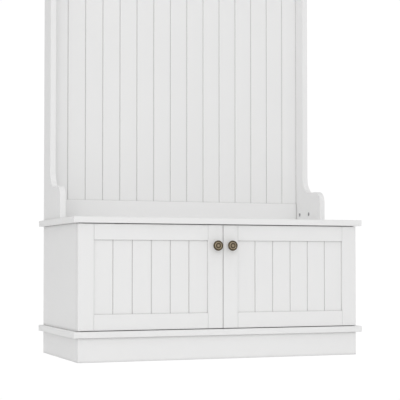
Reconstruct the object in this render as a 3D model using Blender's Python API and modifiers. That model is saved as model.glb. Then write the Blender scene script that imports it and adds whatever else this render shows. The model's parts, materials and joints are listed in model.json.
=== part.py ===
# Hall tree: a bench cupboard with two framed doors, and a beadboard back with coat hooks above it.
# Metres. +Z is up, the front faces -Y, and +X is to the right of someone who looks at the front.
# The origin is on the floor, under the centre of the whole object's box.

import math

import bmesh
import bpy
from mathutils import Matrix

# Overall sizes
seat_width = 0.920
seat_depth = 0.428
seat_height = 0.416
total_height = 1.800

# Boards
board = 0.018
side_overhang = 0.0155
front_overhang = 0.011
plinth_height = 0.070
edge_round = 0.0010
fit = 0.0003                # gap left between pieces that touch
overcut = 0.0020            # how far a cutter runs past the face it opens

# Cupboard inside
case_back_thickness = 0.005
case_back_lap = 0.009       # how far the back sits into the rear rebate of each side
shelf_thickness = 0.015
shelf_height = 0.232
shelf_setback = 0.012
housing_depth = 0.005

# Doors
door_thickness = 0.018
door_gap = 0.0020           # above and below a door
centre_gap = 0.0016
door_back_gap = 0.0035      # between a closed door and the front edges of the case
stile_width = 0.0470
rail_width = 0.046
frame_round = 0.0006
panel_recess = 0.006
panel_thickness = 0.006
panel_groove = 0.008        # depth of the groove that holds the panel
panel_play = 0.001
planks_per_door = 6

# V grooves of the beadboard
bead_width = 0.0036
bead_depth = 0.0022

# Door pivots
pivot_from_edge = 0.007
pin_radius = 0.0025
pin_in_door = 0.025
pin_in_bush = 0.009
collar_radius = 0.0045
bush_radius = 0.0050
bush_length = 0.010
flange_radius = 0.0065
flange_thickness = 0.0006

# Door furniture
knob_radius = 0.0157
knob_length = 0.0220
knob_from_edge = 0.0224     # from the meeting edge of a door to the knob's centre
knob_drop = 0.0614          # from the top of a door to the knob's centre
knob_screw_radius = 0.0020
knob_screw_bite = 0.0110    # how far the screw reaches into the knob
catch_length = 0.040
catch_height = 0.013
catch_depth = 0.024
catch_from_centre = 0.012
strike_length = 0.028
strike_height = 0.013
strike_thickness = 0.0012

# Upper frame
bracket_depth = 0.208       # depth of an upper side where it stands on the seat
upper_depth = 0.082         # depth of an upper side above its bracket
ledge_height = 0.1010       # of the bracket's ledge above the seat
nose_radius = 0.034
cove_radius = 0.060
cove_height = 0.055
rail_face = 0.0340          # front face of the rails, from the back plane
lower_rail_height = 0.0685
hook_rail_height = 0.150
back_board_thickness = 0.009
back_board_setback = 0.0055 # behind the face of the rails
back_board_housing = 0.005
back_groove_pitch = 0.0576
back_groove_count = 14
rail_groove_depth = 0.008

# Cam connectors between the seat and the upper sides
cam_radius = 0.0060
cam_length = 0.0135
cam_height = 0.0300         # above the seat
cam_depths = (0.0585, 0.1263)  # from the back plane
cam_axis_depth = 0.009      # of the dowel's axis, from the inner face of the side
dowel_radius = 0.0025
dowel_head_radius = 0.0032
dowel_in_seat = 0.011

# Coat hooks
hook_count = 4
hook_plate_width = 0.022
hook_plate_height = 0.072
hook_plate_thickness = 0.0035
hook_wire_radius = 0.0042
hook_ball_radius = 0.0075
hook_reach = 0.070
hook_rise = 0.052
hook_drop = 0.092           # from the underside of the top board to the hook's centre

# Wall bracket
bracket_sheet = 0.002
bracket_width = 0.030
bracket_leg = 0.040
bracket_clearance = 0.0010   # between its foot and the back of the hook rail
bracket_hole_radius = 0.0025

# Planes worked out from the sizes above
knob_beyond_seat = max(0.0, knob_length - front_overhang)
back_y = (seat_depth + knob_beyond_seat) / 2
seat_front_y = back_y - seat_depth
door_front_y = seat_front_y + front_overhang
door_back_y = door_front_y + door_thickness
case_front_y = door_back_y + door_back_gap
case_half = seat_width / 2 - side_overhang
inner_half = case_half - board
bottom_top_z = plinth_height + board
seat_under_z = seat_height - board
door_low_z = bottom_top_z + door_gap
door_high_z = seat_under_z - door_gap
top_under_z = total_height - board
bracket_foot = rail_face - board - bracket_clearance
rail_face_y = back_y - rail_face
rail_back_y = rail_face_y + board
back_board_y = rail_face_y + back_board_setback
panel_y = door_front_y + panel_recess
pivot_half = case_half - pivot_from_edge
pivot_y = door_front_y + door_thickness / 2

round_steps = 20
small_steps = 16


def clear_scene():
    for ob in list(bpy.data.objects):
        bpy.data.objects.remove(ob, do_unlink=True)


def make_collection(name):
    collection = bpy.data.collections.new(name)
    bpy.context.scene.collection.children.link(collection)
    return collection


def make_material(name, colour, roughness, metallic=0.0):
    material = bpy.data.materials.new(name)
    material.use_nodes = True
    shader = material.node_tree.nodes["Principled BSDF"]
    shader.inputs["Base Color"].default_value = (*colour, 1.0)
    shader.inputs["Roughness"].default_value = roughness
    shader.inputs["Metallic"].default_value = metallic
    return material


clear_scene()
parts = make_collection("hall_tree")
cutters = make_collection("cutters")
white_paint = make_material("white_paint", (0.88, 0.88, 0.88), 0.45)
inner_white = make_material("inner_white", (0.76, 0.76, 0.75), 0.55)
antique_brass = make_material("antique_brass", (0.26, 0.20, 0.13), 0.38, 1.0)
zinc_steel = make_material("zinc_steel", (0.42, 0.42, 0.43), 0.35, 1.0)
nylon = make_material("nylon", (0.72, 0.72, 0.70), 0.50)


def add_object(name, data, material, location=(0.0, 0.0, 0.0), rotation=(0.0, 0.0, 0.0)):
    ob = bpy.data.objects.new(name, data)
    ob.location = location
    ob.rotation_euler = rotation
    if material is None:
        cutters.objects.link(ob)
        ob.hide_render = True
        ob.display_type = "WIRE"
    else:
        parts.objects.link(ob)
        data.materials.append(material)
    return ob


def span(a, b):
    return (min(a, b), max(a, b))


def box(name, x, y, z, material, rounding=edge_round):
    # A board between its low and high faces along each axis.
    size = [high - low for low, high in (x, y, z)]
    centre = [(low + high) / 2 for low, high in (x, y, z)]
    shape = bmesh.new()
    bmesh.ops.create_cube(shape, size=1.0, matrix=Matrix.Diagonal((*size, 1.0)))
    mesh = bpy.data.meshes.new(name)
    shape.to_mesh(mesh)
    shape.free()
    ob = add_object(name, mesh, material, centre)
    if material is not None and rounding > 0.0:
        bevel = ob.modifiers.new("rounded_edges", "BEVEL")
        bevel.width = rounding
        bevel.segments = 1
        bevel.limit_method = "ANGLE"
    return ob


def rod(name, radius, length, centre, axis, material=None, steps=round_steps):
    # A plain cylinder along X, Y or Z.
    turn = {"X": (0.0, math.pi / 2, 0.0), "Y": (math.pi / 2, 0.0, 0.0), "Z": (0.0, 0.0, 0.0)}
    shape = bmesh.new()
    bmesh.ops.create_cone(shape, cap_ends=True, segments=steps, radius1=radius, radius2=radius,
                          depth=length)
    mesh = bpy.data.meshes.new(name)
    shape.to_mesh(mesh)
    shape.free()
    return add_object(name, mesh, material, centre, turn[axis])


def boolean(target, tool, operation):
    step = target.modifiers.new(operation.lower() + "_" + tool.name, "BOOLEAN")
    step.operation = operation
    step.object = tool


def cut(target, tool):
    boolean(target, tool, "DIFFERENCE")


def join(target, tool):
    boolean(target, tool, "UNION")


def turned(name, profile, material, location, rotation=(0.0, 0.0, 0.0), steps=round_steps, ring=False):
    # A round piece from (radius, height) points that run from its top down its outer side.
    mesh = bpy.data.meshes.new(name)
    links = [(i, i + 1) for i in range(len(profile) - 1)]
    if ring:
        links.append((len(profile) - 1, 0))
    mesh.from_pydata([(radius, 0.0, height) for radius, height in profile], links, [])
    ob = add_object(name, mesh, material, location, rotation)
    screw = ob.modifiers.new("turn", "SCREW")
    screw.steps = steps
    screw.render_steps = steps
    screw.use_merge_vertices = True
    screw.merge_threshold = 0.00001
    screw.use_smooth_shade = True
    return ob


def outline_curve(name, points, thickness, material, location, rotation=(0.0, 0.0, 0.0)):
    # A flat outline with a thickness along the curve's own Z.
    curve = bpy.data.curves.new(name, "CURVE")
    curve.dimensions = "2D"
    curve.fill_mode = "BOTH"
    curve.extrude = thickness / 2
    spline = curve.splines.new("POLY")
    spline.points.add(len(points) - 1)
    for point, (x, y) in zip(spline.points, points):
        point.co = (x, y, 0.0, 1.0)
    spline.use_cyclic_u = True
    return add_object(name, curve, material, location, rotation)


def as_mesh(ob, material):
    # The curve's evaluated shape as a welded mesh object in the same place.
    bpy.context.view_layer.update()
    name = ob.name
    place = ob.matrix_world.copy()
    depsgraph = bpy.context.evaluated_depsgraph_get()
    mesh = bpy.data.meshes.new_from_object(ob.evaluated_get(depsgraph))
    shape = bmesh.new()
    shape.from_mesh(mesh)
    bmesh.ops.remove_doubles(shape, verts=shape.verts, dist=0.00001)
    bmesh.ops.recalc_face_normals(shape, faces=shape.faces)
    shape.to_mesh(mesh)
    shape.free()
    mesh.materials.clear()
    bpy.data.objects.remove(ob, do_unlink=True)
    mesh.name = name
    result = add_object(name, mesh, material)
    result.matrix_world = place
    return result


def arc(centre, radius, start, end, steps):
    # Points on an arc, from one angle to another in radians, both ends included.
    angles = [start + (end - start) * i / steps for i in range(steps + 1)]
    return [(centre[0] + radius * math.cos(a), centre[1] + radius * math.sin(a)) for a in angles]


def beadboard(name, half_width, grooves, thickness, x, face_y, z, material):
    # An upright panel with V grooves in its front face; grooves are places along its width.
    front = [(-half_width, 0.0)]
    for place in grooves:
        front += [(place - bead_width / 2, 0.0), (place, bead_depth), (place + bead_width / 2, 0.0)]
    front += [(half_width, 0.0), (half_width, thickness), (-half_width, thickness)]
    centre = (x, face_y, (z[0] + z[1]) / 2)
    flat = outline_curve(name, front, z[1] - z[0], material, centre)
    return as_mesh(flat, material)


def build_plinth():
    z = (0.0, plinth_height - fit)
    front = (door_front_y, door_front_y + board)
    rear = (back_y - board, back_y)
    between = (front[1] + fit, back_y)
    box("plinth_front", (-case_half, case_half), front, z, white_paint)
    box("plinth_left", (-case_half, -inner_half), between, z, white_paint)
    box("plinth_right", (inner_half, case_half), between, z, white_paint)
    box("plinth_back", (-inner_half + fit, inner_half - fit), rear, z, white_paint)


def pivot_hole(target, name, x, mouth_z, depth):
    # A blind hole for a pivot bush; a negative depth goes down into the board.
    reach = depth + math.copysign(overcut, depth)
    centre = (x, pivot_y, mouth_z + (depth - math.copysign(overcut, depth)) / 2)
    cut(target, rod(name, bush_radius + fit, abs(reach), centre, "Z", steps=small_steps))


def build_seat_and_base():
    across = (-seat_width / 2, seat_width / 2)
    along = (seat_front_y, back_y)
    base = box("bottom_board", across, along, (plinth_height, bottom_top_z), white_paint)
    seat = box("seat_board", across, along, (seat_under_z, seat_height), white_paint)
    hole_depth = bush_length + fit
    for side, s in (("left", -1), ("right", 1)):
        pivot_hole(base, "bush_hole_bottom_" + side, s * pivot_half, bottom_top_z, -hole_depth)
        pivot_hole(seat, "bush_hole_top_" + side, s * pivot_half, seat_under_z, hole_depth)
        for number, depth in enumerate(cam_depths, 1):
            length = dowel_in_seat + fit + overcut
            centre = (s * (inner_half + cam_axis_depth), back_y - depth,
                      seat_height + overcut - length / 2)
            hole = rod(f"dowel_hole_{side}_{number}", dowel_radius + fit, length, centre, "Z",
                       steps=small_steps)
            cut(seat, hole)


def build_case():
    z = (bottom_top_z + fit, seat_under_z - fit)
    back_front_y = back_y - case_back_thickness - fit
    shelf_z = (shelf_height, shelf_height + shelf_thickness)
    housing_z = (shelf_z[0] - fit, shelf_z[1] + fit)
    shelf_y = (case_front_y + shelf_setback, back_front_y - fit)
    housing_y = (shelf_y[0] - fit, shelf_y[1] + overcut)
    divider = box("divider", (-board / 2, board / 2), (case_front_y, back_front_y - fit), z, inner_white)
    for side, s in (("left", -1), ("right", 1)):
        wall = box("case_side_" + side, span(s * inner_half, s * case_half), (case_front_y, back_y), z,
                   white_paint)
        rebate_x = span(s * (inner_half - overcut), s * (inner_half + case_back_lap + fit))
        cut(wall, box("rebate_" + side, rebate_x, (back_front_y, back_y + overcut),
                      (z[0] - overcut, z[1] + overcut), None))
        outer_x = span(s * (inner_half - overcut), s * (inner_half + housing_depth + fit))
        cut(wall, box("housing_" + side, outer_x, housing_y, housing_z, None))
        divider_face = board / 2
        inner_x = span(s * (divider_face + overcut), s * (divider_face - housing_depth - fit))
        cut(divider, box("divider_housing_" + side, inner_x, housing_y, housing_z, None))
        shelf_x = span(s * (divider_face - housing_depth), s * (inner_half + housing_depth))
        box("shelf_" + side, shelf_x, shelf_y, shelf_z, inner_white, 0.0)
    back_x = inner_half + case_back_lap
    box("case_back", (-back_x, back_x), (back_front_y + fit, back_y), z, inner_white, 0.0)


def build_pivots(side, s, axis):
    # A fixed pin below, with a collar that carries the door, and a plain pin above.
    x = s * pivot_half
    r = pin_radius
    bottom_tip = bottom_top_z + flange_thickness - pin_in_bush
    collar_low = bottom_top_z + flange_thickness + fit
    collar_high = door_low_z - fit
    lower = [(0.0, door_low_z + pin_in_door), (r, door_low_z + pin_in_door), (r, collar_high),
             (collar_radius, collar_high), (collar_radius, collar_low), (r, collar_low),
             (r, bottom_tip), (0.0, bottom_tip)]
    upper_low = door_high_z - pin_in_door
    upper_high = seat_under_z - flange_thickness + pin_in_bush
    upper = [(0.0, upper_high), (r, upper_high), (r, upper_low), (0.0, upper_low)]
    for name, profile in (("pivot_pin_bottom_", lower), ("pivot_pin_top_", upper)):
        pin = turned(name + side, profile, zinc_steel, (x, pivot_y, 0.0), steps=small_steps)
        hang(pin, axis)

    inner = pin_radius + fit
    flange_top = bottom_top_z + flange_thickness
    tube_low = bottom_top_z - bush_length
    bottom_bush = [(inner, flange_top), (flange_radius, flange_top), (flange_radius, bottom_top_z + fit),
                   (bush_radius, bottom_top_z + fit), (bush_radius, tube_low), (inner, tube_low)]
    flange_low = seat_under_z - flange_thickness
    tube_top = seat_under_z + bush_length
    top_bush = [(inner, tube_top), (bush_radius, tube_top), (bush_radius, seat_under_z - fit),
                (flange_radius, seat_under_z - fit), (flange_radius, flange_low), (inner, flange_low)]
    for name, profile in (("pivot_bush_bottom_", bottom_bush), ("pivot_bush_top_", top_bush)):
        turned(name + side, profile, nylon, (x, pivot_y, 0.0), steps=small_steps, ring=True)


def hang(ob, axis):
    # Parents a door piece to the empty on the door's axis, where the piece already is.
    ob.location = [a - b for a, b in zip(ob.location, axis.location)]
    ob.parent = axis


def build_door(side, s):
    axis = bpy.data.objects.new("door_axis_" + side, None)
    axis.location = (s * pivot_half, pivot_y, door_low_z)
    parts.objects.link(axis)

    thick = (door_front_y, door_back_y)
    tall = (door_low_z, door_high_z)
    meeting = (centre_gap / 2, centre_gap / 2 + stile_width)
    hinge = (case_half - stile_width, case_half)
    opening = (meeting[1], hinge[0])
    opening_z = (door_low_z + rail_width, door_high_z - rail_width)
    groove_y = (panel_y - fit, panel_y + panel_thickness + fit)

    def across(a, b):
        return span(s * a, s * b)

    hinge_stile = box("door_hinge_stile_" + side, across(*hinge), thick, tall, white_paint, frame_round)
    meeting_stile = box("door_meeting_stile_" + side, across(*meeting), thick, tall, white_paint,
                        frame_round)
    run_out = (tall[0] - overcut, tall[1] + overcut)
    cut(hinge_stile, box("hinge_stile_groove_" + side,
                         across(opening[1] - overcut, opening[1] + panel_groove), groove_y, run_out, None))
    cut(meeting_stile, box("meeting_stile_groove_" + side,
                           across(opening[0] - panel_groove, opening[0] + overcut), groove_y, run_out,
                           None))
    hang(hinge_stile, axis)
    hang(meeting_stile, axis)

    rail_x = across(opening[0] + fit, opening[1] - fit)
    tongue_x = across(opening[0] - panel_groove + panel_play, opening[1] + panel_groove - panel_play)
    tongue_y = (panel_y, panel_y + panel_thickness)
    groove_x = across(opening[0] - overcut, opening[1] + overcut)
    for end, rail_z, lip, up in (("top", (opening_z[1], tall[1]), opening_z[1], 1),
                                 ("bottom", (tall[0], opening_z[0]), opening_z[0], -1)):
        rail = box(f"door_{end}_rail_{side}", rail_x, thick, rail_z, white_paint, frame_round)
        tongue_inset = frame_round + fit
        tongue_z = span(lip + up * panel_groove, (tall[1] if up > 0 else tall[0]) - up * tongue_inset)
        join(rail, box(f"tongue_{end}_{side}", tongue_x, tongue_y, tongue_z, None))
        groove_z = span(lip - up * overcut, lip + up * panel_groove)
        cut(rail, box(f"rail_groove_{end}_{side}", groove_x, groove_y, groove_z, None))
        hang(rail, axis)

    opening_width = opening[1] - opening[0]
    plank = opening_width / planks_per_door
    grooves = [plank * i - opening_width / 2 for i in range(1, planks_per_door)]
    reach = panel_groove - panel_play
    panel = beadboard("door_panel_" + side, opening_width / 2 + reach, grooves, panel_thickness,
                      s * (opening[0] + opening[1]) / 2, panel_y,
                      (opening_z[0] - reach, opening_z[1] + reach), white_paint)
    hang(panel, axis)

    for stile_end, z, way in (("bottom", door_low_z, 1), ("top", door_high_z, -1)):
        depth = pin_in_door + fit + overcut
        centre = (s * pivot_half, pivot_y, z + way * (depth / 2 - overcut))
        hole = rod(f"pin_hole_{stile_end}_{side}", pin_radius + fit, depth, centre, "Z",
                   steps=small_steps)
        cut(hinge_stile, hole)

    build_knob(side, s * (meeting[0] + knob_from_edge), meeting_stile, axis)
    build_pivots(side, s, axis)

    strike_x = across(catch_from_centre + (catch_length - strike_length) / 2,
                      catch_from_centre + (catch_length + strike_length) / 2)
    strike_y = (door_back_y + fit, door_back_y + fit + strike_thickness)
    strike_z = (door_high_z - frame_round - strike_height, door_high_z - frame_round)
    hang(box("door_strike_" + side, strike_x, strike_y, strike_z, zinc_steel, 0.0), axis)
    catch_x = across(catch_from_centre, catch_from_centre + catch_length)
    catch_y = (strike_y[1] + fit, strike_y[1] + fit + catch_depth)
    catch_z = (seat_under_z - fit - catch_height, seat_under_z - fit)
    box("magnetic_catch_" + side, catch_x, catch_y, catch_z, nylon)


def build_knob(side, x, stile, axis):
    z = door_high_z - knob_drop
    hole_radius = knob_screw_radius + fit
    r = knob_radius
    length = knob_length
    face = [(0.0, length), (0.30 * r, length), (0.38 * r, length - 0.0009), (0.50 * r, length - 0.0003),
            (0.70 * r, length - 0.0010), (0.78 * r, length - 0.0019), (0.90 * r, length - 0.0018)]
    rim = [(0.985 * r, length - 0.0026), (r, length - 0.0036), (0.97 * r, length - 0.0046)]
    neck = [(0.80 * r, length - 0.0062), (0.50 * r, length - 0.0090), (0.34 * r, length - 0.0120),
            (0.33 * r, 0.0060), (0.40 * r, 0.0028), (0.44 * r, 0.0014), (0.44 * r, fit)]
    bore = [(hole_radius, fit), (hole_radius, knob_screw_bite + fit), (0.0, knob_screw_bite + fit)]
    knob = turned("knob_" + side, face + rim + neck + bore, antique_brass, (x, door_front_y, z),
                  (math.pi / 2, 0.0, 0.0))
    hang(knob, axis)

    passage = rod("knob_screw_hole_" + side, hole_radius, door_thickness + 2 * overcut,
                  (x, (door_front_y + door_back_y) / 2, z), "Y", steps=small_steps)
    cut(stile, passage)
    shank = knob_screw_radius
    head = 2.1 * shank
    head_height = 0.0022
    seat = -door_thickness - fit
    screw = [(0.0, knob_screw_bite), (shank, knob_screw_bite), (shank, seat), (head, seat),
             (0.95 * head, seat - 0.6 * head_height), (0.60 * head, seat - head_height),
             (0.0, seat - head_height)]
    hang(turned("knob_screw_" + side, screw, zinc_steel, (x, door_front_y, z), (math.pi / 2, 0.0, 0.0),
                steps=small_steps), axis)


def upper_side_outline():
    # Seen from the side: (y, z) round the panel, from its lower back corner.
    low = seat_height + fit
    high = top_under_z - fit
    front = back_y - bracket_depth
    ledge = seat_height + ledge_height
    upper_front = back_y - upper_depth
    sweep = math.asin(cove_height / cove_radius)
    nose = arc((front + nose_radius, ledge - nose_radius), nose_radius, math.pi, math.pi / 2, 8)
    cove = arc((upper_front - cove_radius, ledge + cove_height), cove_radius, -sweep, 0.0, 8)
    return [(back_y, low), (front, low)] + nose + cove + [(upper_front, high), (back_y, high)]


def build_upper_sides():
    stand = (math.pi / 2, 0.0, math.pi / 2)
    for side, s in (("left", -1), ("right", 1)):
        centre_x = s * (inner_half + board / 2)
        flat = outline_curve("upper_side_" + side, upper_side_outline(), board, white_paint,
                             (centre_x, 0.0, 0.0), stand)
        panel = as_mesh(flat, white_paint)
        bevel = panel.modifiers.new("rounded_edges", "BEVEL")
        bevel.width = edge_round
        bevel.segments = 1
        bevel.limit_method = "ANGLE"
        bevel.angle_limit = math.radians(40)
        housing_x = span(s * (inner_half - overcut), s * (inner_half + back_board_housing + fit))
        housing_y = (back_board_y - fit, back_board_y + back_board_thickness + fit)
        housing_z = (seat_height - overcut, total_height)
        cut(panel, box("back_housing_" + side, housing_x, housing_y, housing_z, None))
        for number, depth in enumerate(cam_depths, 1):
            build_cam(side, s, number, back_y - depth, panel)


def build_cam(side, s, number, y, panel):
    z = seat_height + cam_height
    label = f"{side}_{number}"
    pocket = cam_length + 2 * fit + overcut
    cut(panel, rod("cam_hole_" + label, cam_radius + fit, pocket,
                   (s * (inner_half - overcut + pocket / 2), y, z), "X"))
    axis_x = s * (inner_half + cam_axis_depth)
    shaft_hole = dowel_head_radius + 2 * fit
    shaft_length = cam_height + overcut
    cut(panel, rod("dowel_passage_" + label, shaft_hole, shaft_length,
                   (axis_x, y, seat_height - overcut + shaft_length / 2), "Z", steps=small_steps))
    cam = rod("cam_lock_" + label, cam_radius, cam_length,
              (s * (inner_half + fit + cam_length / 2), y, z), "X", zinc_steel)
    bite = cam_radius + overcut
    cut(cam, rod("cam_mouth_" + label, shaft_hole, bite, (axis_x, y, z - bite / 2 + 0.0005), "Z",
                 steps=small_steps))
    slot = 0.0016
    slot_depth = 0.0015
    for way, (wide, high) in (("a", (0.8 * cam_radius, slot / 2)), ("b", (slot / 2, 0.8 * cam_radius))):
        slot_x = span(s * (inner_half - overcut), s * (inner_half + fit + slot_depth))
        cut(cam, box(f"cam_slot_{way}_{label}", slot_x, (y - wide, y + wide), (z - high, z + high), None))
    r = dowel_radius
    tip = z - 0.0010
    neck = tip - 0.0030
    collar = seat_height + fit
    profile = [(0.0, tip), (dowel_head_radius, tip - 0.0008), (dowel_head_radius, neck),
               (0.7 * r, neck - 0.0008), (0.7 * r, neck - 0.0030), (r, neck - 0.0036),
               (r, collar), (r, seat_height - dowel_in_seat), (0.0, seat_height - dowel_in_seat)]
    turned("cam_dowel_" + label, profile, zinc_steel, (axis_x, y, 0.0), steps=small_steps)


def build_back_and_rails():
    x = (-inner_half + fit, inner_half - fit)
    y = (rail_face_y, rail_back_y)
    low_z = (seat_height + fit, seat_height + lower_rail_height)
    high_z = (top_under_z - hook_rail_height, top_under_z - fit)
    lower = box("lower_rail", x, y, low_z, white_paint)
    upper = box("hook_rail", x, y, high_z, white_paint)
    groove_x = (-inner_half - overcut, inner_half + overcut)
    groove_y = (back_board_y - fit, back_board_y + back_board_thickness + fit)
    cut(lower, box("lower_rail_groove", groove_x, groove_y,
                   (low_z[1] - rail_groove_depth, low_z[1] + overcut), None))
    cut(upper, box("hook_rail_groove", groove_x, groove_y,
                   (high_z[0] - overcut, high_z[0] + rail_groove_depth), None))
    reach = rail_groove_depth - fit
    first = -back_groove_pitch * (back_groove_count - 1) / 2
    grooves = [first + back_groove_pitch * i for i in range(back_groove_count)]
    beadboard("back_boards", inner_half + back_board_housing, grooves, back_board_thickness, 0.0,
              back_board_y, (low_z[1] - reach, high_z[0] + reach), white_paint)


def build_top():
    across = (-seat_width / 2, seat_width / 2)
    along = (back_y - upper_depth - front_overhang, back_y)
    box("top_board", across, along, (top_under_z, total_height), white_paint)


def rounded_plate(width, height):
    # An upright plate with round ends.
    r = width / 2
    straight = height / 2 - r
    return arc((0.0, straight), r, 0.0, math.pi, 8) + arc((0.0, -straight), r, math.pi, 2 * math.pi, 8)


def prong(name, points, ball, ball_radius):
    # A bent wire in the YZ plane, as a mesh cutter, with a ball on its end.
    curve = bpy.data.curves.new(name, "CURVE")
    curve.dimensions = "3D"
    curve.bevel_depth = hook_wire_radius
    curve.bevel_resolution = 2
    curve.use_fill_caps = True
    curve.resolution_u = 3
    spline = curve.splines.new("BEZIER")
    spline.bezier_points.add(len(points) - 1)
    for bezier, (y, z) in zip(spline.bezier_points, points):
        bezier.co = (0.0, y, z)
        bezier.handle_left_type = "AUTO"
        bezier.handle_right_type = "AUTO"
    wire = as_mesh(add_object(name, curve, None), None)
    shape = bmesh.new()
    bmesh.ops.create_uvsphere(shape, u_segments=10, v_segments=7, radius=ball_radius)
    mesh = bpy.data.meshes.new(name + "_ball")
    shape.to_mesh(mesh)
    shape.free()
    knob = add_object(name + "_ball", mesh, None, (0.0, *ball))
    return wire, knob


def build_hooks():
    stand = (math.pi / 2, 0.0, 0.0)
    z = top_under_z - hook_drop
    root = -hook_plate_thickness / 2
    reach = hook_reach
    rise = hook_rise
    upper = [(root, 0.004), (-0.32 * reach, 0.000), (-0.70 * reach, 0.28 * rise),
             (-0.90 * reach, rise - 0.5 * hook_ball_radius)]
    upper_ball = (-0.93 * reach + 0.002, rise)
    lower = [(root, -0.016), (-0.26 * reach, -0.026), (-0.50 * reach, -0.022), (-0.58 * reach, -0.004)]
    lower_ball = (-0.585 * reach, 0.000)
    upper_parts = prong("upper_prong", upper, upper_ball, hook_ball_radius)
    lower_parts = prong("lower_prong", lower, lower_ball, 0.85 * hook_ball_radius)
    pitch = 2 * inner_half / hook_count
    for number in range(hook_count):
        x = -inner_half + pitch * (number + 0.5)
        centre = (x, rail_face_y - fit - hook_plate_thickness / 2, z)
        flat = outline_curve(f"coat_hook_{number + 1}", rounded_plate(hook_plate_width, hook_plate_height),
                             hook_plate_thickness, antique_brass, centre, stand)
        hook = as_mesh(flat, antique_brass)
        for piece in upper_parts + lower_parts:
            copy = bpy.data.objects.new(f"{piece.name}_{number + 1}", piece.data)
            cutters.objects.link(copy)
            copy.hide_render = True
            copy.display_type = "WIRE"
            copy.location = [a + b for a, b in zip(piece.location, centre)]
            join(hook, copy)
    for piece in upper_parts + lower_parts:
        bpy.data.objects.remove(piece, do_unlink=True)


def build_wall_bracket():
    # A bent plate behind the hook rail: one leg flat to the wall, one under the top board.
    t = bracket_sheet
    high = top_under_z - fit
    outline = [(back_y, high), (back_y - bracket_foot, high), (back_y - bracket_foot, high - t),
               (back_y - t, high - t), (back_y - t, high - bracket_leg), (back_y, high - bracket_leg)]
    flat = outline_curve("wall_bracket", outline, bracket_width, zinc_steel, (0.0, 0.0, 0.0),
                         (math.pi / 2, 0.0, math.pi / 2))
    bracket = as_mesh(flat, zinc_steel)
    wall_hole_z = high - 0.65 * bracket_leg
    cut(bracket, rod("wall_hole", bracket_hole_radius, 4 * t, (0.0, back_y - t / 2, wall_hole_z), "Y",
                     steps=small_steps))
    board_hole_y = back_y - 0.60 * bracket_foot
    cut(bracket, rod("board_hole", bracket_hole_radius, 4 * t, (0.0, board_hole_y, high - t / 2), "Z",
                     steps=small_steps))


build_plinth()
build_seat_and_base()
build_case()
build_door("left", -1)
build_door("right", 1)
build_upper_sides()
build_back_and_rails()
build_top()
build_hooks()
build_wall_bracket()
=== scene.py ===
import json
import math

import bpy
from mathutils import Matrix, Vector


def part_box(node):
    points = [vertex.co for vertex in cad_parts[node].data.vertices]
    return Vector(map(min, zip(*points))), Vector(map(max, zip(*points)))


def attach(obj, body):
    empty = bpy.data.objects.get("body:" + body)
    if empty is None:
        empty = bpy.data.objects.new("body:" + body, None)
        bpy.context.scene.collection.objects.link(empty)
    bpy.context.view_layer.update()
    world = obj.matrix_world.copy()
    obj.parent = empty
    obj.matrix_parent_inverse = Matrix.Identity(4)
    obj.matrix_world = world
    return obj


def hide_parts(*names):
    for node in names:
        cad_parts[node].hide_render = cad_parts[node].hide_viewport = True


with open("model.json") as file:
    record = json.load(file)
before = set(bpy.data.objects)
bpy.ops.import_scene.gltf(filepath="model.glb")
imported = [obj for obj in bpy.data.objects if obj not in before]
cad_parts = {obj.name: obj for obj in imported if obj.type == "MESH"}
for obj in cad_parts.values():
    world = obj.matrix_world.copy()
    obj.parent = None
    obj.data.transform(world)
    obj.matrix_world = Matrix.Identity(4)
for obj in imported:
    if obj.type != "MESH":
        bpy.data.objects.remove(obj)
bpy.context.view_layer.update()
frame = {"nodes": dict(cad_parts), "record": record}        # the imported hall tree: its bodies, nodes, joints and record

scene = bpy.context.scene
scene.view_settings.view_transform = "Standard"
nodes = frame["nodes"]
bodyOf = {name: body for body, names in frame["record"]["behaviour"]["bodies"].items() for name in names}
mergeDistance = 0.000005
seatGap = 0.0001        # keeps a small part just clear of the face it sits on
print("frame loaded:", len(nodes), "nodes")


def onlySelect(ob):
    bpy.ops.object.select_all(action="DESELECT")
    ob.hide_set(False)
    ob.select_set(True)
    bpy.context.view_layer.objects.active = ob


def placeInMesh(ob):
    # Moves the object's place, turn and size into its mesh.
    onlySelect(ob)
    bpy.ops.object.transform_apply(location=True, rotation=True, scale=True)


def applyAll(ob):
    onlySelect(ob)
    for step in list(ob.modifiers):
        bpy.ops.object.modifier_apply(modifier=step.name)


def outwards(ob):
    onlySelect(ob)
    bpy.ops.object.mode_set(mode="EDIT")
    bpy.ops.mesh.select_all(action="SELECT")
    bpy.ops.mesh.remove_doubles(threshold=mergeDistance)
    bpy.ops.mesh.normals_make_consistent(inside=False)
    bpy.ops.object.mode_set(mode="OBJECT")


def smoothByAngle(ob, degrees):
    onlySelect(ob)
    bpy.ops.object.shade_smooth_by_angle(angle=math.radians(degrees))


def pickVerts(ob, test):
    # Leaves edit mode with only the vertices that pass the test selected.
    onlySelect(ob)
    bpy.ops.object.mode_set(mode="EDIT")
    bpy.ops.mesh.select_all(action="DESELECT")
    bpy.ops.mesh.select_mode(type="VERT")
    bpy.ops.object.mode_set(mode="OBJECT")
    for vert in ob.data.vertices:
        vert.select = test(vert.co)
    bpy.ops.object.mode_set(mode="EDIT")


def pickFaces(ob, test):
    onlySelect(ob)
    bpy.ops.object.mode_set(mode="EDIT")
    bpy.ops.mesh.select_all(action="DESELECT")
    bpy.ops.mesh.select_mode(type="FACE")
    bpy.ops.object.mode_set(mode="OBJECT")
    for face in ob.data.polygons:
        face.select = test(face)
    bpy.ops.object.mode_set(mode="EDIT")


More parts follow.
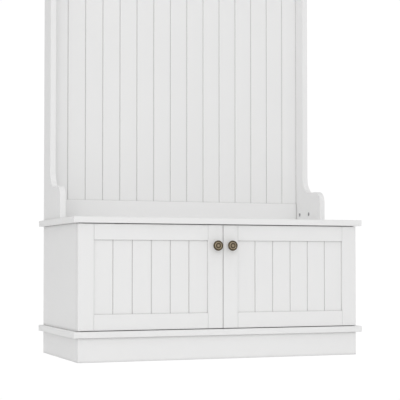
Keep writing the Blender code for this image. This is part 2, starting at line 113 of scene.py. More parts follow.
def turnedPiece(name, profile, sides):
    # A lathe-like piece: a disc is extruded up its axis and widened or narrowed ring by ring.
    radius, height = profile[0]
    bpy.ops.mesh.primitive_circle_add(vertices=sides, radius=radius, fill_type="NGON",
                                      location=(0, 0, height))
    ob = bpy.context.active_object
    ob.name = name
    placeInMesh(ob)
    bpy.ops.object.mode_set(mode="EDIT")
    bpy.ops.mesh.select_all(action="SELECT")
    for nextRadius, nextHeight in profile[1:]:
        bpy.ops.mesh.extrude_region_move(TRANSFORM_OT_translate={"value": (0, 0, nextHeight - height)})
        grow = nextRadius / radius
        bpy.ops.transform.resize(value=(grow, grow, 1), center_override=(0, 0, nextHeight))
        radius, height = nextRadius, nextHeight
    bpy.ops.object.mode_set(mode="OBJECT")
    outwards(ob)
    return ob


def boolean(target, tool, operation):
    step = target.modifiers.new(operation.lower(), "BOOLEAN")
    step.operation = operation
    step.object = tool
    onlySelect(target)
    bpy.ops.object.modifier_apply(modifier=step.name)
    bpy.data.objects.remove(tool, do_unlink=True)


def copyPiece(source, name, place):
    ob = source.copy()
    ob.data = source.data.copy()
    ob.name = name
    scene.collection.objects.link(ob)
    ob.location = place
    placeInMesh(ob)
    return ob


def hand(ob, body, slotName, material, *replaced):
    # Gives a finished piece its material, its body and the nodes it stands for.
    ob.data.materials.clear()
    ob.data.materials.append(material)
    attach(ob, body)
    if replaced:
        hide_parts(*replaced)


def newGroup(name, inputs, outputs):
    group = bpy.data.node_groups.new(name, "ShaderNodeTree")
    for label, kind, value in inputs:
        socket = group.interface.new_socket(name=label, in_out="INPUT", socket_type="NodeSocket" + kind)
        socket.default_value = value
    for label, kind in outputs:
        group.interface.new_socket(name=label, in_out="OUTPUT", socket_type="NodeSocket" + kind)
    return group


def addNode(tree, kind, x, y, settings=None, values=None):
    made = tree.nodes.new("ShaderNode" + kind)
    made.location = (x, y)
    for key, value in (settings or {}).items():
        setattr(made, key, value)
    for key, value in (values or {}).items():
        made.inputs[key].default_value = value
    return made


def groupEnds(group):
    start = group.nodes.new("NodeGroupInput")
    start.location = (-900, 0)
    end = group.nodes.new("NodeGroupOutput")
    end.location = (900, 0)
    return start, end


def makePaintSkin():
    # Sprayed and sanded paint: slow tone drift, a fine stipple, and painted shade that darkens grooves,
    # corners and gaps between parts.
    group = newGroup("paintSkin",
                     [("Tone", "Color", (0.8, 0.8, 0.8, 1)),
                      ("Painted Shade Tone", "Color", (0.5, 0.5, 0.5, 1)), ("Drift", "Float", 0.02),
                      ("Painted Shade Amount", "Float", 0.5), ("Painted Shade Reach", "Float", 0.007),
                      ("Stipple Scale", "Float", 600.0), ("Stipple Depth", "Float", 0.00002),
                      ("Rough Low", "Float", 0.38), ("Rough High", "Float", 0.52)],
                     [("Color", "Color"), ("Roughness", "Float"), ("Normal", "Vector")])
    link = group.links.new
    start, end = groupEnds(group)
    coords = addNode(group, "TexCoord", -900, -300)
    slow = addNode(group, "TexNoise", -650, 300, None, {"Scale": 2.6, "Detail": 3.0, "Roughness": 0.5})
    link(coords.outputs["Object"], slow.inputs["Vector"])
    driftLow = addNode(group, "Math", -650, 480, {"operation": "SUBTRACT"}, {0: 1.0})
    link(start.outputs["Drift"], driftLow.inputs[1])
    drift = addNode(group, "MapRange", -420, 300, None, {"From Min": 0.3, "From Max": 0.7, "To Max": 1.0})
    link(slow.outputs["Fac"], drift.inputs["Value"])
    link(driftLow.outputs[0], drift.inputs["To Min"])
    tone = addNode(group, "VectorMath", -200, 300, {"operation": "SCALE"})
    link(start.outputs["Tone"], tone.inputs[0])
    link(drift.outputs["Result"], tone.inputs["Scale"])
    # Painted shade: an ambient occlusion mask pulls the colour towards the shade tone in grooves,
    # corners, gaps between parts and around things that stand close.
    hollow = addNode(group, "AmbientOcclusion", -650, 60, {"samples": 8})
    link(start.outputs["Painted Shade Reach"], hollow.inputs["Distance"])
    shade = addNode(group, "MapRange", -420, 60, None, {"From Min": 0.35, "From Max": 0.95,
                                                       "To Min": 1.0, "To Max": 0.0})
    link(hollow.outputs["AO"], shade.inputs["Value"])
    amount = addNode(group, "Math", -200, 60, {"operation": "MULTIPLY"})
    link(shade.outputs["Result"], amount.inputs[0])
    link(start.outputs["Painted Shade Amount"], amount.inputs[1])
    mixed = addNode(group, "Mix", 60, 200, {"data_type": "RGBA"})
    link(amount.outputs[0], mixed.inputs["Factor"])
    link(tone.outputs[0], mixed.inputs["A"])
    link(start.outputs["Painted Shade Tone"], mixed.inputs["B"])
    link(mixed.outputs["Result"], end.inputs["Color"])
    patch = addNode(group, "TexNoise", -650, -160, None, {"Scale": 38.0, "Detail": 4.0})
    link(coords.outputs["Object"], patch.inputs["Vector"])
    rough = addNode(group, "MapRange", -200, -160, None, {"From Min": 0.3, "From Max": 0.7})
    link(patch.outputs["Fac"], rough.inputs["Value"])
    link(start.outputs["Rough Low"], rough.inputs["To Min"])
    link(start.outputs["Rough High"], rough.inputs["To Max"])
    link(rough.outputs["Result"], end.inputs["Roughness"])
    fine = addNode(group, "TexNoise", -650, -380, None, {"Detail": 2.0, "Roughness": 0.45})
    link(coords.outputs["Object"], fine.inputs["Vector"])
    link(start.outputs["Stipple Scale"], fine.inputs["Scale"])
    wave = addNode(group, "TexNoise", -650, -600, None, {"Scale": 55.0, "Detail": 1.0})
    link(coords.outputs["Object"], wave.inputs["Vector"])
    height = addNode(group, "Math", -200, -440, {"operation": "MULTIPLY_ADD"}, {1: 0.8})
    link(wave.outputs["Fac"], height.inputs[0])
    link(fine.outputs["Fac"], height.inputs[2])
    bump = addNode(group, "Bump", 60, -400, None, {"Strength": 1.0})
    link(height.outputs[0], bump.inputs["Height"])
    link(start.outputs["Stipple Depth"], bump.inputs["Distance"])
    link(bump.outputs["Normal"], end.inputs["Normal"])
    return group


def makeMetalSkin():
    # Plated or patinated metal: dark where the wear attribute is low, bright on what hands rub.
    group = newGroup("metalSkin",
                     [("Rubbed", "Color", (0.5, 0.4, 0.25, 1)), ("Patina", "Color", (0.1, 0.08, 0.05, 1)),
                      ("Mottle Scale", "Float", 160.0), ("Mottle", "Float", 0.35),
                      ("Scratch Depth", "Float", 0.00001),
                      ("Rough Rubbed", "Float", 0.28), ("Rough Patina", "Float", 0.52)],
                     [("Color", "Color"), ("Roughness", "Float"), ("Normal", "Vector")])
    link = group.links.new
    start, end = groupEnds(group)
    coords = addNode(group, "TexCoord", -900, -300)
    wear = addNode(group, "Attribute", -650, 300, {"attribute_name": "wear"})
    mottle = addNode(group, "TexNoise", -650, 60, None, {"Detail": 5.0, "Roughness": 0.6})
    link(coords.outputs["Object"], mottle.inputs["Vector"])
    link(start.outputs["Mottle Scale"], mottle.inputs["Scale"])
    centred = addNode(group, "Math", -420, 60, {"operation": "SUBTRACT"}, {1: 0.5})
    link(mottle.outputs["Fac"], centred.inputs[0])
    mask = addNode(group, "Math", -200, 200, {"operation": "MULTIPLY_ADD", "use_clamp": True})
    link(centred.outputs[0], mask.inputs[0])
    link(start.outputs["Mottle"], mask.inputs[1])
    link(wear.outputs["Fac"], mask.inputs[2])
    mixed = addNode(group, "Mix", 60, 200, {"data_type": "RGBA"})
    link(mask.outputs[0], mixed.inputs["Factor"])
    link(start.outputs["Patina"], mixed.inputs["A"])
    link(start.outputs["Rubbed"], mixed.inputs["B"])
    link(mixed.outputs["Result"], end.inputs["Color"])
    rough = addNode(group, "MapRange", 60, -60)
    link(mask.outputs[0], rough.inputs["Value"])
    link(start.outputs["Rough Patina"], rough.inputs["To Min"])
    link(start.outputs["Rough Rubbed"], rough.inputs["To Max"])
    link(rough.outputs["Result"], end.inputs["Roughness"])
    stretched = addNode(group, "Mapping", -650, -300, None, {"Scale": (900.0, 900.0, 2600.0)})
    link(coords.outputs["Object"], stretched.inputs["Vector"])
    scratch = addNode(group, "TexNoise", -420, -300, None, {"Scale": 1.0, "Detail": 3.0})
    link(stretched.outputs["Vector"], scratch.inputs["Vector"])
    bump = addNode(group, "Bump", 60, -300, None, {"Strength": 1.0})
    link(scratch.outputs["Fac"], bump.inputs["Height"])
    link(start.outputs["Scratch Depth"], bump.inputs["Distance"])
    link(bump.outputs["Normal"], end.inputs["Normal"])
    return group


paintSkin = makePaintSkin()
metalSkin = makeMetalSkin()


def skinMaterial(name, group, values, shader):
    # A Principled material fed by one of the groups; its plain numbers stay on the shader.
    material = bpy.data.materials.new(name)
    material.use_nodes = True
    tree = material.node_tree
    surface = tree.nodes["Principled BSDF"]
    skin = addNode(tree, "Group", -320, 0, {"node_tree": group}, values)
    for output, socket in (("Color", "Base Color"), ("Roughness", "Roughness"), ("Normal", "Normal")):
        tree.links.new(skin.outputs[output], surface.inputs[socket])
    for key, value in shader.items():
        surface.inputs[key].default_value = value
    return material


# The shade tone, amount and reach set the painted shade in grooves, corners, joints and gaps: darker and
# tighter on the beaded boards, with a shorter reach on the door frames.
satinPaint = {"Tone": (0.885, 0.884, 0.882, 1), "Painted Shade Tone": (0.60, 0.595, 0.59, 1), "Drift": 0.018,
              "Painted Shade Amount": 0.70, "Painted Shade Reach": 0.010, "Stipple Scale": 620.0,
              "Stipple Depth": 0.00003, "Rough Low": 0.40, "Rough High": 0.50}
satinCoat = {"Coat Weight": 0.06, "Coat Roughness": 0.35}
beadedPaint = skinMaterial("beadedWhitePaint", paintSkin,
                           dict(satinPaint, **{"Painted Shade Amount": 1.0, "Painted Shade Reach": 0.003,
                                               "Painted Shade Tone": (0.53, 0.525, 0.52, 1)}), satinCoat)
framePaint = skinMaterial("doorFrameWhitePaint", paintSkin,
                          dict(satinPaint, **{"Painted Shade Amount": 0.70, "Painted Shade Reach": 0.006}), satinCoat)
finishes = {
    "white_paint": skinMaterial("satinWhitePaint", paintSkin, satinPaint, satinCoat),
    "inner_white": skinMaterial("mattWhiteFoil", paintSkin,
        {"Tone": (0.76, 0.757, 0.75, 1), "Painted Shade Tone": (0.5, 0.49, 0.48, 1), "Drift": 0.03,
         "Painted Shade Amount": 0.4, "Painted Shade Reach": 0.010, "Stipple Scale": 900.0, "Stipple Depth": 0.00002,
         "Rough Low": 0.52, "Rough High": 0.64}, {}),
    "antique_brass": skinMaterial("antiqueBrass", metalSkin,
        {"Rubbed": (0.60, 0.49, 0.345, 1), "Patina": (0.092, 0.074, 0.046, 1), "Mottle Scale": 260.0,
         "Mottle": 0.45, "Scratch Depth": 0.000012, "Rough Rubbed": 0.34, "Rough Patina": 0.56},
        {"Metallic": 0.85}),
    "zinc_steel": skinMaterial("zincSteel", metalSkin,
        {"Rubbed": (0.58, 0.58, 0.59, 1), "Patina": (0.30, 0.30, 0.32, 1), "Mottle Scale": 340.0,
         "Mottle": 0.9, "Scratch Depth": 0.000008, "Rough Rubbed": 0.26, "Rough Patina": 0.42},
        {"Metallic": 1.0}),
    "nylon": skinMaterial("mouldedNylon", paintSkin,
        {"Tone": (0.72, 0.715, 0.69, 1), "Painted Shade Tone": (0.45, 0.44, 0.42, 1), "Drift": 0.03,
         "Painted Shade Amount": 0.5, "Painted Shade Reach": 0.002, "Stipple Scale": 1500.0, "Stipple Depth": 0.000012,
         "Rough Low": 0.34, "Rough High": 0.46}, {"Subsurface Weight": 0.08}),
}
slotOf = {part["node"]: part["material_slot"] for part in frame["record"]["subparts"]}
for name, node in nodes.items():
    node.data.materials.clear()
    node.data.materials.append(finishes[slotOf[name]])
print("materials made:", len(finishes))


# Boards keep the CAD shape, with merged corners and softly shaded edges.
boards = {"shadeAngle": 50, "weight": 50, "beaded": ("back_boards", "door_panel_"),
          "framed": ("door_hinge_stile_", "door_meeting_stile_", "door_top_rail_", "door_bottom_rail_"),
          "leftOut": ("knob_", "coat_hook_", "magnetic_catch_", "door_strike_", "cam_lock_")}


def finishBoard(name):
    source = nodes[name]
    ob = bpy.data.objects.new(name + "_finished", source.data.copy())
    scene.collection.objects.link(ob)
    onlySelect(ob)
    bpy.ops.mesh.customdata_custom_splitnormals_clear()
    bpy.ops.object.mode_set(mode="EDIT")
    bpy.ops.mesh.select_all(action="SELECT")
    bpy.ops.mesh.remove_doubles(threshold=mergeDistance)
    bpy.ops.object.mode_set(mode="OBJECT")
    if name == "case_back":
        sinkNails(ob)
    smoothByAngle(ob, boards["shadeAngle"])
    soften = ob.modifiers.new("softEdges", "WEIGHTED_NORMAL")
    soften.weight = boards["weight"]
    soften.keep_sharp = True
    applyAll(ob)
    slotName = slotOf[name]
    if slotName in ("zinc_steel", "antique_brass"):
        markWear(ob, lambda co: 0.6)
    material = finishes[slotName]
    if name.startswith(boards["beaded"]):
        material = beadedPaint
    elif name.startswith(boards["framed"]):
        material = framePaint
    hand(ob, bodyOf[name], slotName, material, name)


nail = {"headRadius": 0.0022, "headHeight": 0.0004, "dimpleRadius": 0.0026, "dimpleDepth": 0.0006,
        "sides": 20, "fromSide": 0.0045, "fromEnd": 0.030, "rows": 4, "shelfPlaces": (0.145, 0.285)}


def nailPlaces():
    # Where the thin back is nailed: both sides, the divider, and the rear edges of the shelves.
    low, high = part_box("case_back")
    shelfLow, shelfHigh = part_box("shelf_left")
    bottom, top = low.z + nail["fromEnd"], high.z - nail["fromEnd"]
    places = []
    for x in (low.x + nail["fromSide"], 0.0, high.x - nail["fromSide"]):
        places += [(x, bottom + (top - bottom) * i / (nail["rows"] - 1)) for i in range(nail["rows"])]
    for x in nail["shelfPlaces"]:
        places += [(way * x, (shelfLow.z + shelfHigh.z) / 2) for way in (-1, 1)]
    return places


def sinkNails(back):
    # Presses a shallow dimple round each nail, so that its head lies under the surface.
    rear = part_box("case_back")[1].y
    for x, z in nailPlaces():
        bpy.ops.mesh.primitive_cylinder_add(vertices=24, radius=nail["dimpleRadius"],
                                            depth=2 * nail["dimpleDepth"], location=(x, rear, z),
                                            rotation=(math.pi / 2, 0, 0))
        dimple = bpy.context.active_object
        placeInMesh(dimple)
        boolean(back, dimple, "DIFFERENCE")


def makeNails():
    r, h = nail["headRadius"], nail["headHeight"]
    profile = [(0.4 * r, -h), (r, 0.0), (r, 0.4 * h), (0.9 * r, 0.8 * h), (0.3 * r, h)]
    pattern = turnedPiece("nailHead", profile, nail["sides"])
    markWear(pattern, lambda co: 0.55)
    smoothByAngle(pattern, 40)
    pattern.rotation_euler = (-math.pi / 2, 0, 0)
    placeInMesh(pattern)
    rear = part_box("case_back")[1].y
    for number, (x, z) in enumerate(nailPlaces(), 1):
        one = copyPiece(pattern, f"back_nail_{number}", (x, rear - nail["dimpleDepth"] + seatGap, z))
        hand(one, "cabinet", "zinc_steel", finishes["zinc_steel"])
    bpy.data.objects.remove(pattern, do_unlink=True)


def markWear(ob, rule):
    # Stores how rubbed each point is, from 0 in the recesses to 1 where hands reach.
    layer = ob.data.attributes.new("wear", "FLOAT", "POINT")
    for vert, value in zip(ob.data.vertices, layer.data):
        value.value = rule(vert.co)


for name in sorted(nodes):
    if not name.startswith(boards["leftOut"]):
        finishBoard(name)
makeNails()
print("boards finished and nailed")


# Profiles run from the door out: (radius, height), then (share of the radius, height under the front).
knob = {"sides": 72, "radius": 0.0153,
        "back": ((0.0069, 0.0000), (0.0069, 0.0012), (0.0064, 0.0024), (0.0054, 0.0042), (0.0052, 0.0075),
                 (0.0054, 0.0100), (0.0068, 0.0122), (0.0092, 0.0140), (0.0122, 0.0156), (0.0143, 0.0168),
                 (0.0150, 0.0176)),
        "face": ((1.000, -0.0034), (0.992, -0.0024), (0.960, -0.0015), (0.905, -0.0011), (0.850, -0.0013),
                 (0.800, -0.0022), (0.760, -0.0026), (0.725, -0.0021), (0.680, -0.0010), (0.620, -0.0006),
                 (0.560, -0.0009), (0.515, -0.0018), (0.480, -0.0023), (0.440, -0.0022), (0.405, -0.0012),
                 (0.350, -0.0003), (0.260, 0.0000), (0.060, 0.0000))}


def knobWear(radial):
    # Bright on the crests of the rings, dark in the two turned hollows and on the rim.
    crests = ((0.12, 0.16, 0.72), (0.63, 0.075, 0.92), (0.90, 0.04, 0.12))
    return 0.04 + max(top * math.exp(-((radial - place) / width) ** 2) for place, width, top in crests)


def makeKnob(side):
    r = knob["radius"]
    low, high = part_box("knob_" + side)
    length = high.y - low.y
    profile = list(knob["back"])
    profile += [(share * r, length + height) for share, height in knob["face"]]
    ob = turnedPiece("knob_" + side + "_turned", profile, knob["sides"])
    markWear(ob, lambda co: knobWear(math.hypot(co.x, co.y) / r) if co.z > 0.0180 else 0.22)
    smoothByAngle(ob, 40)
    ob.rotation_euler = (math.pi / 2, 0, 0)
    ob.location = ((low.x + high.x) / 2, high.y, (low.z + high.z) / 2)
    placeInMesh(ob)
    hand(ob, "door_" + side, "antique_brass", finishes["antique_brass"], "knob_" + side)


for side in ("left", "right"):
    makeKnob(side)
print("knobs turned")


screw = {"sides": 24, "crossWidth": 0.0009, "crossShare": 0.62, "crossDepth": 0.0011}


def cutCross(ob, reach, width, depth, top):
    for wide, high in ((reach, width), (width, reach)):
        bpy.ops.mesh.primitive_cube_add(size=1, location=(0, 0, top))
        bar = bpy.context.active_object
        bar.scale = (wide, high, 2 * depth)
        placeInMesh(bar)
        boolean(ob, bar, "DIFFERENCE")


def makeScrewHead(name, radius, height):
    # A pan head that faces +Z, with a cross recess.
    profile = [(radius * 0.96, -0.0004), (radius, 0.0), (radius, 0.25 * height),
               (0.93 * radius, 0.55 * height), (0.74 * radius, 0.85 * height), (0.45 * radius, height),
               (0.12 * radius, height)]
    ob = turnedPiece(name, profile, screw["sides"])
    cutCross(ob, 2 * screw["crossShare"] * radius, screw["crossWidth"], screw["crossDepth"], height)
    markWear(ob, lambda co: 0.75 if co.z > 0.6 * height else 0.3)
    smoothByAngle(ob, 35)
    return ob


hook = {"wire": 0.0042, "ball": 0.0075, "lowerBall": 0.85, "screwRadius": 0.0034, "screwHeight": 0.0017,
        "screwPlace": 0.027, "screwDepth": 0.0034, "count": 4,
        "plateWidth": 0.022, "plateHeight": 0.072, "plateThickness": 0.0026, "rise": 0.052,
        "plateSteps": ((0.0012, 0.0003), (0.0016, 0.0006), (0.0008, 0.0)),
        "upperWire": (1.25, 1.0, 0.9, 0.78), "lowerWire": (1.2, 1.0, 0.9, 0.8)}


def makePlate(width, height, thickness):
    # A flat disc pulled out into a long plate with round ends and eased edges, facing +Z.
    bpy.ops.mesh.primitive_cylinder_add(vertices=48, radius=width / 2, depth=thickness,
                                        location=(0, 0, thickness / 2))
    ob = bpy.context.active_object
    placeInMesh(ob)
    stretch = (height - width) / 2
    for way in (1, -1):
        pickVerts(ob, lambda co: co.y * way > 0.00001)
        bpy.ops.transform.translate(value=(0, way * stretch, 0))
        bpy.ops.object.mode_set(mode="OBJECT")
    pickFaces(ob, lambda face: face.normal.z > 0.9)
    for margin, lift in hook["plateSteps"]:
        bpy.ops.mesh.inset(thickness=margin)
        if lift:
            bpy.ops.transform.translate(value=(0, 0, lift))
    bpy.ops.object.mode_set(mode="OBJECT")
    return ob


def makeProng(points, radii, ballPlace, ballRadius):
    # A tapering bent rod with a ball on its end, in the YZ plane with +Z out of the plate.
    bpy.ops.curve.primitive_bezier_curve_add()
    ob = bpy.context.active_object
    curve = ob.data
    spline = curve.splines[0]
    spline.bezier_points.add(len(points) - 2)
    for bezier, (y, z), radius in zip(spline.bezier_points, points, radii):
        bezier.co = (0, y, z)
        bezier.radius = radius
        bezier.handle_left_type = "AUTO"
        bezier.handle_right_type = "AUTO"
    curve.bevel_depth = hook["wire"]
    curve.bevel_resolution = 6
    curve.resolution_u = 12
    curve.use_fill_caps = True
    ob.location = (0, 0, 0)
    onlySelect(ob)
    bpy.ops.object.convert(target="MESH")
    ob = bpy.context.active_object
    outwards(ob)
    bpy.ops.mesh.primitive_uv_sphere_add(segments=32, ring_count=20, radius=ballRadius,
                                         location=(0, *ballPlace))
    ball = bpy.context.active_object
    placeInMesh(ball)
    boolean(ob, ball, "UNION")
    return ob


def makeHookPattern():
    # One hook, its plate's back on z = 0 and its up along +Y.
    low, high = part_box("coat_hook_1")
    plate = makePlate(hook["plateWidth"], hook["plateHeight"], hook["plateThickness"])
    deep = high.y - low.y
    rise = hook["rise"]
    upper = makeProng([(0.004, 0.0015), (0.001, 0.30 * deep), (0.28 * rise, 0.68 * deep),
                       (rise - 0.0035, 0.875 * deep)], hook["upperWire"],
                      (rise, 0.896 * deep), hook["ball"])
    lower = makeProng([(-0.015, 0.0015), (-0.0255, 0.26 * deep), (-0.0215, 0.50 * deep),
                       (-0.0045, 0.575 * deep)], hook["lowerWire"],
                      (0.000, 0.582 * deep), hook["lowerBall"] * hook["ball"])
    boolean(plate, upper, "UNION")
    boolean(plate, lower, "UNION")
    outwards(plate)
    markWear(plate, lambda co: 0.15 + 0.75 * min(1.0, max(0.0, (co.z - 0.012) / (0.8 * deep))))
    smoothByAngle(plate, 45)
    plate.rotation_euler = (math.pi / 2, 0, 0)
    placeInMesh(plate)
    return plate


def makeHooks():
    pattern = makeHookPattern()
    head = makeScrewHead("hookScrew", hook["screwRadius"], hook["screwHeight"])
    head.rotation_euler = (math.pi / 2, 0, 0)
    placeInMesh(head)
    for number in range(1, hook["count"] + 1):
        name = f"coat_hook_{number}"
        low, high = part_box(name)
        centreX = (low.x + high.x) / 2
        middleZ = low.z + hook["plateHeight"] / 2
        ob = copyPiece(pattern, name + "_cast", (centreX, high.y, middleZ))
        hand(ob, "cabinet", "antique_brass", finishes["antique_brass"], name)
        for label, way in (("top", 1), ("bottom", -1)):
            place = (centreX, high.y - hook["screwDepth"], middleZ + way * hook["screwPlace"])
            one = copyPiece(head, f"{name}_screw_{label}", place)
            hand(one, "cabinet", "antique_brass", finishes["antique_brass"])
    for spare in (pattern, head):
        bpy.data.objects.remove(spare, do_unlink=True)


makeHooks()
print("hooks made")


catch = {"wall": 0.0022, "plate": 0.0016, "ease": 0.0012, "steelEase": 0.0003, "strikeEase": 0.0004,
         "clear": 0.0003, "mouthDepth": 0.009, "poleFront": 0.0004, "poleDepth": 0.0085,
         "magnetFront": 0.0012, "magnetDepth": 0.0084, "magnetInset": 0.001,
         "screwRadius": 0.0028, "screwHeight": 0.0013, "bumperSides": 28,
         "bumperRadius": 0.0036, "bumperHeight": 0.0031, "bumperFromMiddle": 0.0050,
         "bumperLow": 0.022, "bumperHigh": 0.032}


def easedBlock(name, low, high, ease, segments=3):
    bpy.ops.mesh.primitive_cube_add(size=1, location=[(a + b) / 2 for a, b in zip(low, high)])
    ob = bpy.context.active_object
    ob.name = name
    ob.scale = [b - a for a, b in zip(low, high)]
    placeInMesh(ob)
    bevel = ob.modifiers.new("ease", "BEVEL")
    bevel.width = ease
    bevel.segments = segments
    applyAll(ob)
    smoothByAngle(ob, 40)
    return ob


def makeCatch(side):
    # A moulded case under the seat with two steel poles at its mouth and a magnet between them.
    low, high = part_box("magnetic_catch_" + side)
    wall = catch["wall"]
    clear = catch["clear"]
    case = easedBlock("catch_case_" + side, low, high, catch["ease"])
    mouth = easedBlock("catch_mouth_cut", (low.x + 3 * wall, low.y - 0.002, low.z + wall),
                       (high.x - 3 * wall, low.y + catch["mouthDepth"], high.z - wall), 0.0004, 1)
    boolean(case, mouth, "DIFFERENCE")
    smoothByAngle(case, 40)
    hand(case, "cabinet", "nylon", finishes["nylon"], "magnetic_catch_" + side)
    inner = (low.x + 3 * wall + clear, high.x - 3 * wall - clear)
    for label, z in (("lower", low.z + wall + clear), ("upper", high.z - wall - clear - catch["plate"])):
        pole = easedBlock(f"catch_pole_{label}_{side}", (inner[0], low.y + catch["poleFront"], z),
                          (inner[1], low.y + catch["poleDepth"], z + catch["plate"]),
                          catch["steelEase"], 2)
        markWear(pole, lambda co: 0.7)
        hand(pole, "cabinet", "zinc_steel", finishes["zinc_steel"])
    inset = catch["magnetInset"]
    magnet = easedBlock("catch_magnet_" + side,
                        (inner[0] + inset, low.y + catch["magnetFront"], low.z + 2 * wall),
                        (inner[1] - inset, low.y + catch["magnetDepth"], high.z - 2 * wall),
                        catch["steelEase"], 2)
    markWear(magnet, lambda co: 0.0)
    hand(magnet, "cabinet", "zinc_steel", finishes["zinc_steel"])


def makeStrike(side, head):
    low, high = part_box("door_strike_" + side)
    plate = easedBlock("strike_plate_" + side, low, high, catch["strikeEase"], 2)
    markWear(plate, lambda co: 0.55)
    hand(plate, "door_" + side, "zinc_steel", finishes["zinc_steel"], "door_strike_" + side)
    centre = ((low.x + high.x) / 2, high.y, (low.z + high.z) / 2)
    one = copyPiece(head, "strike_screw_" + side, centre)
    hand(one, "door_" + side, "zinc_steel", finishes["zinc_steel"])


def makeBumpers(side):
    # Two soft domes on the back of the door, where it meets the divider.
    way = -1 if side == "left" else 1
    low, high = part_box("door_meeting_stile_" + side)
    r = catch["bumperRadius"]
    h = catch["bumperHeight"]
    for label, z in (("lower", low.z + catch["bumperLow"]), ("upper", high.z - catch["bumperHigh"])):
        profile = [(r, 0.0), (r, 0.35 * h), (0.93 * r, 0.62 * h), (0.72 * r, 0.86 * h),
                   (0.40 * r, 0.98 * h), (0.08 * r, h)]
        ob = turnedPiece(f"bumper_{label}_{side}", profile, catch["bumperSides"])
        smoothByAngle(ob, 50)
        ob.rotation_euler = (-math.pi / 2, 0, 0)
        ob.location = (way * catch["bumperFromMiddle"], high.y + seatGap, z)
        placeInMesh(ob)
        hand(ob, "door_" + side, "nylon", finishes["nylon"])


smallHead = makeScrewHead("smallScrew", catch["screwRadius"], catch["screwHeight"])
smallHead.rotation_euler = (-math.pi / 2, 0, 0)
placeInMesh(smallHead)
for side in ("left", "right"):
    makeCatch(side)
    makeStrike(side, smallHead)
    makeBumpers(side)
bpy.data.objects.remove(smallHead, do_unlink=True)
print("catches, strikes and bumpers made")


bracketScrew = {"radius": 0.0039, "height": 0.0020, "sheet": 0.002, "fromWall": 0.60}


def makeBracketScrew():
    # Holds the wall bracket up to the top board.
    low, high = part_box("wall_bracket")
    head = makeScrewHead("bracket_screw", bracketScrew["radius"], bracketScrew["height"])
    head.rotation_euler = (math.pi, 0, 0)
    back = bracketScrew["fromWall"] * (high.y - low.y)
    head.location = (0, high.y - back, high.z - bracketScrew["sheet"] - seatGap)
    placeInMesh(head)
    hand(head, "cabinet", "zinc_steel", finishes["zinc_steel"])


makeBracketScrew()
print("wall bracket screwed on")


cam = {"sides": 40, "edgeDrop": 0.0012, "edgeEase": 0.0004, "slotWidth": 0.0017, "slotShare": 0.70,
       "slotDepth": 0.0022}


def makeCamFace(name):
    # The round lock in its hole, with a cross slot for the screwdriver, facing the other side.
    low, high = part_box(name)
    way = 1 if low.x < 0 else -1
    r = (high.z - low.z) / 2
    length = high.x - low.x
    profile = [(r, 0.0), (r, length - cam["edgeDrop"]), (0.97 * r, length - cam["edgeEase"]),
               (0.90 * r, length), (0.10 * r, length)]
    ob = turnedPiece(name + "_turned", profile, cam["sides"])
    cutCross(ob, 2 * cam["slotShare"] * r, cam["slotWidth"], cam["slotDepth"], length)
    markWear(ob, lambda co: 0.35 if co.z > length - 0.0006 else 0.0)
    smoothByAngle(ob, 35)
    ob.rotation_euler = (0, way * math.pi / 2, 0)
    inner = low.x if way > 0 else high.x
    ob.location = (inner, (low.y + high.y) / 2, (low.z + high.z) / 2)
    placeInMesh(ob)
    hand(ob, "cabinet", "zinc_steel", finishes["zinc_steel"], name)


for name in sorted(nodes):
    if name.startswith("cam_lock_"):
        makeCamFace(name)
print("cam locks made")


studio = {"floorSize": 30.0, "floorDrop": 0.0003, "floorTone": (0.88, 0.88, 0.88, 1),
          "floorRough": 0.8, "floorGlow": 0.088,
          "skyFront": 0.528, "skySides": 0.236, "skyBehind": 0.49, "skyTop": 1.15, "skyLeft": 0.22,
          "seenGlow": 1.02, "keyPlace": (-1.7, -4.8, 1.8), "keyAim": (0, 0, 0.7), "keySize": 3.0,
          "keyPower": 39.5}


def seenByCamera(tree, x, y):
    # 1 for what the camera looks at directly, 0 for the light that reaches the furniture.
    return addNode(tree, "LightPath", x, y).outputs["Is Camera Ray"]


def makeFloor():
    bpy.ops.mesh.primitive_plane_add(size=studio["floorSize"], location=(0, 0, -studio["floorDrop"]))
    floor = bpy.context.active_object
    floor.name = "studio_floor"
    material = bpy.data.materials.new("paleFloor")
    material.use_nodes = True
    surface = material.node_tree.nodes["Principled BSDF"]
    surface.inputs["Base Color"].default_value = studio["floorTone"]
    surface.inputs["Roughness"].default_value = studio["floorRough"]
    surface.inputs["Emission Color"].default_value = (1, 1, 1, 1)
    surface.inputs["Emission Strength"].default_value = studio["floorGlow"]
    glow = addNode(material.node_tree, "Emission", 0, -400, None, {"Strength": studio["seenGlow"]})
    blend = addNode(material.node_tree, "MixShader", 300, 0)
    link = material.node_tree.links.new
    link(seenByCamera(material.node_tree, 0, 300), blend.inputs[0])
    link(surface.outputs[0], blend.inputs[1])
    link(glow.outputs[0], blend.inputs[2])
    link(blend.outputs[0], material.node_tree.nodes["Material Output"].inputs["Surface"])
    floor.data.materials.append(material)


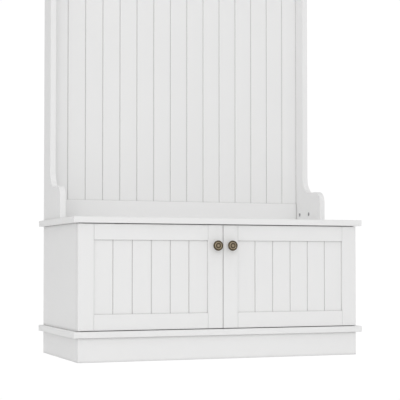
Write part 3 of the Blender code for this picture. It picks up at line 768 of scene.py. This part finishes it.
def makeLights():
    world = bpy.data.worlds.new("softStudio")
    world.use_nodes = True
    back = world.node_tree.nodes["Background"]
    back.inputs["Color"].default_value = (1, 1, 1, 1)
    link = world.node_tree.links.new
    coords = addNode(world.node_tree, "TexCoord", -1100, -200)
    parts = addNode(world.node_tree, "SeparateXYZ", -900, -200)
    link(coords.outputs["Generated"], parts.inputs[0])
    front = addNode(world.node_tree, "MapRange", -700, -100, {"interpolation_type": "SMOOTHSTEP"},
                    {"From Min": -0.12, "From Max": 0.02, "To Min": studio["skyFront"],
                     "To Max": studio["skySides"]})
    link(parts.outputs["Y"], front.inputs["Value"])
    behind = addNode(world.node_tree, "MapRange", -700, -300, {"interpolation_type": "SMOOTHSTEP"},
                     {"From Min": 0.25, "From Max": 0.45, "To Min": 0.0,
                      "To Max": studio["skyBehind"] - studio["skySides"]})
    link(parts.outputs["Y"], behind.inputs["Value"])
    sky = addNode(world.node_tree, "Math", -500, -100, {"operation": "ADD"})
    link(front.outputs["Result"], sky.inputs[0])
    link(behind.outputs["Result"], sky.inputs[1])
    top = addNode(world.node_tree, "MapRange", -700, -500, None,
                  {"From Min": 0.0, "From Max": 1.0, "To Min": 1.0, "To Max": 1.0 + studio["skyTop"]})
    link(parts.outputs["Z"], top.inputs["Value"])
    left = addNode(world.node_tree, "MapRange", -700, -800, None,
                   {"From Min": -1.0, "From Max": 1.0, "To Min": 1.0 + studio["skyLeft"],
                    "To Max": 1.0 - studio["skyLeft"]})
    link(parts.outputs["X"], left.inputs["Value"])
    around = addNode(world.node_tree, "Math", -500, -600, {"operation": "MULTIPLY"})
    link(top.outputs["Result"], around.inputs[0])
    link(left.outputs["Result"], around.inputs[1])
    dome = addNode(world.node_tree, "Math", -500, -300, {"operation": "MULTIPLY"})
    link(sky.outputs[0], dome.inputs[0])
    link(around.outputs[0], dome.inputs[1])
    strength = addNode(world.node_tree, "MapRange", -300, 0, None, {"To Max": studio["seenGlow"]})
    link(seenByCamera(world.node_tree, -600, 200), strength.inputs["Value"])
    link(dome.outputs[0], strength.inputs["To Min"])
    link(strength.outputs["Result"], back.inputs["Strength"])
    scene.world = world
    light = bpy.data.lights.new("keyLight", "AREA")
    light.shape = "SQUARE"
    light.size = studio["keySize"]
    light.energy = studio["keyPower"]
    ob = bpy.data.objects.new("keyLight", light)
    scene.collection.objects.link(ob)
    ob.location = studio["keyPlace"]
    aim = Vector(studio["keyAim"]) - Vector(studio["keyPlace"])
    ob.rotation_euler = aim.to_track_quat("-Z", "Y").to_euler()


camera = {"place": (-1.3108, -3.4158, 0.2851), "turn": 21.025, "tilt": 1.724, "lens": 105.16,
          "sensor": 36.0, "shift": 0.068}


def makeCamera():
    data = bpy.data.cameras.new("camera")
    data.sensor_width = camera["sensor"]
    data.lens = camera["lens"]
    data.shift_y = camera["shift"]
    data.clip_end = 60
    ob = bpy.data.objects.new("camera", data)
    scene.collection.objects.link(ob)
    ob.location = camera["place"]
    ob.rotation_euler = (math.radians(90 + camera["tilt"]), 0, math.radians(-camera["turn"]))
    scene.camera = ob


makeFloor()
makeLights()
makeCamera()
print("studio set")
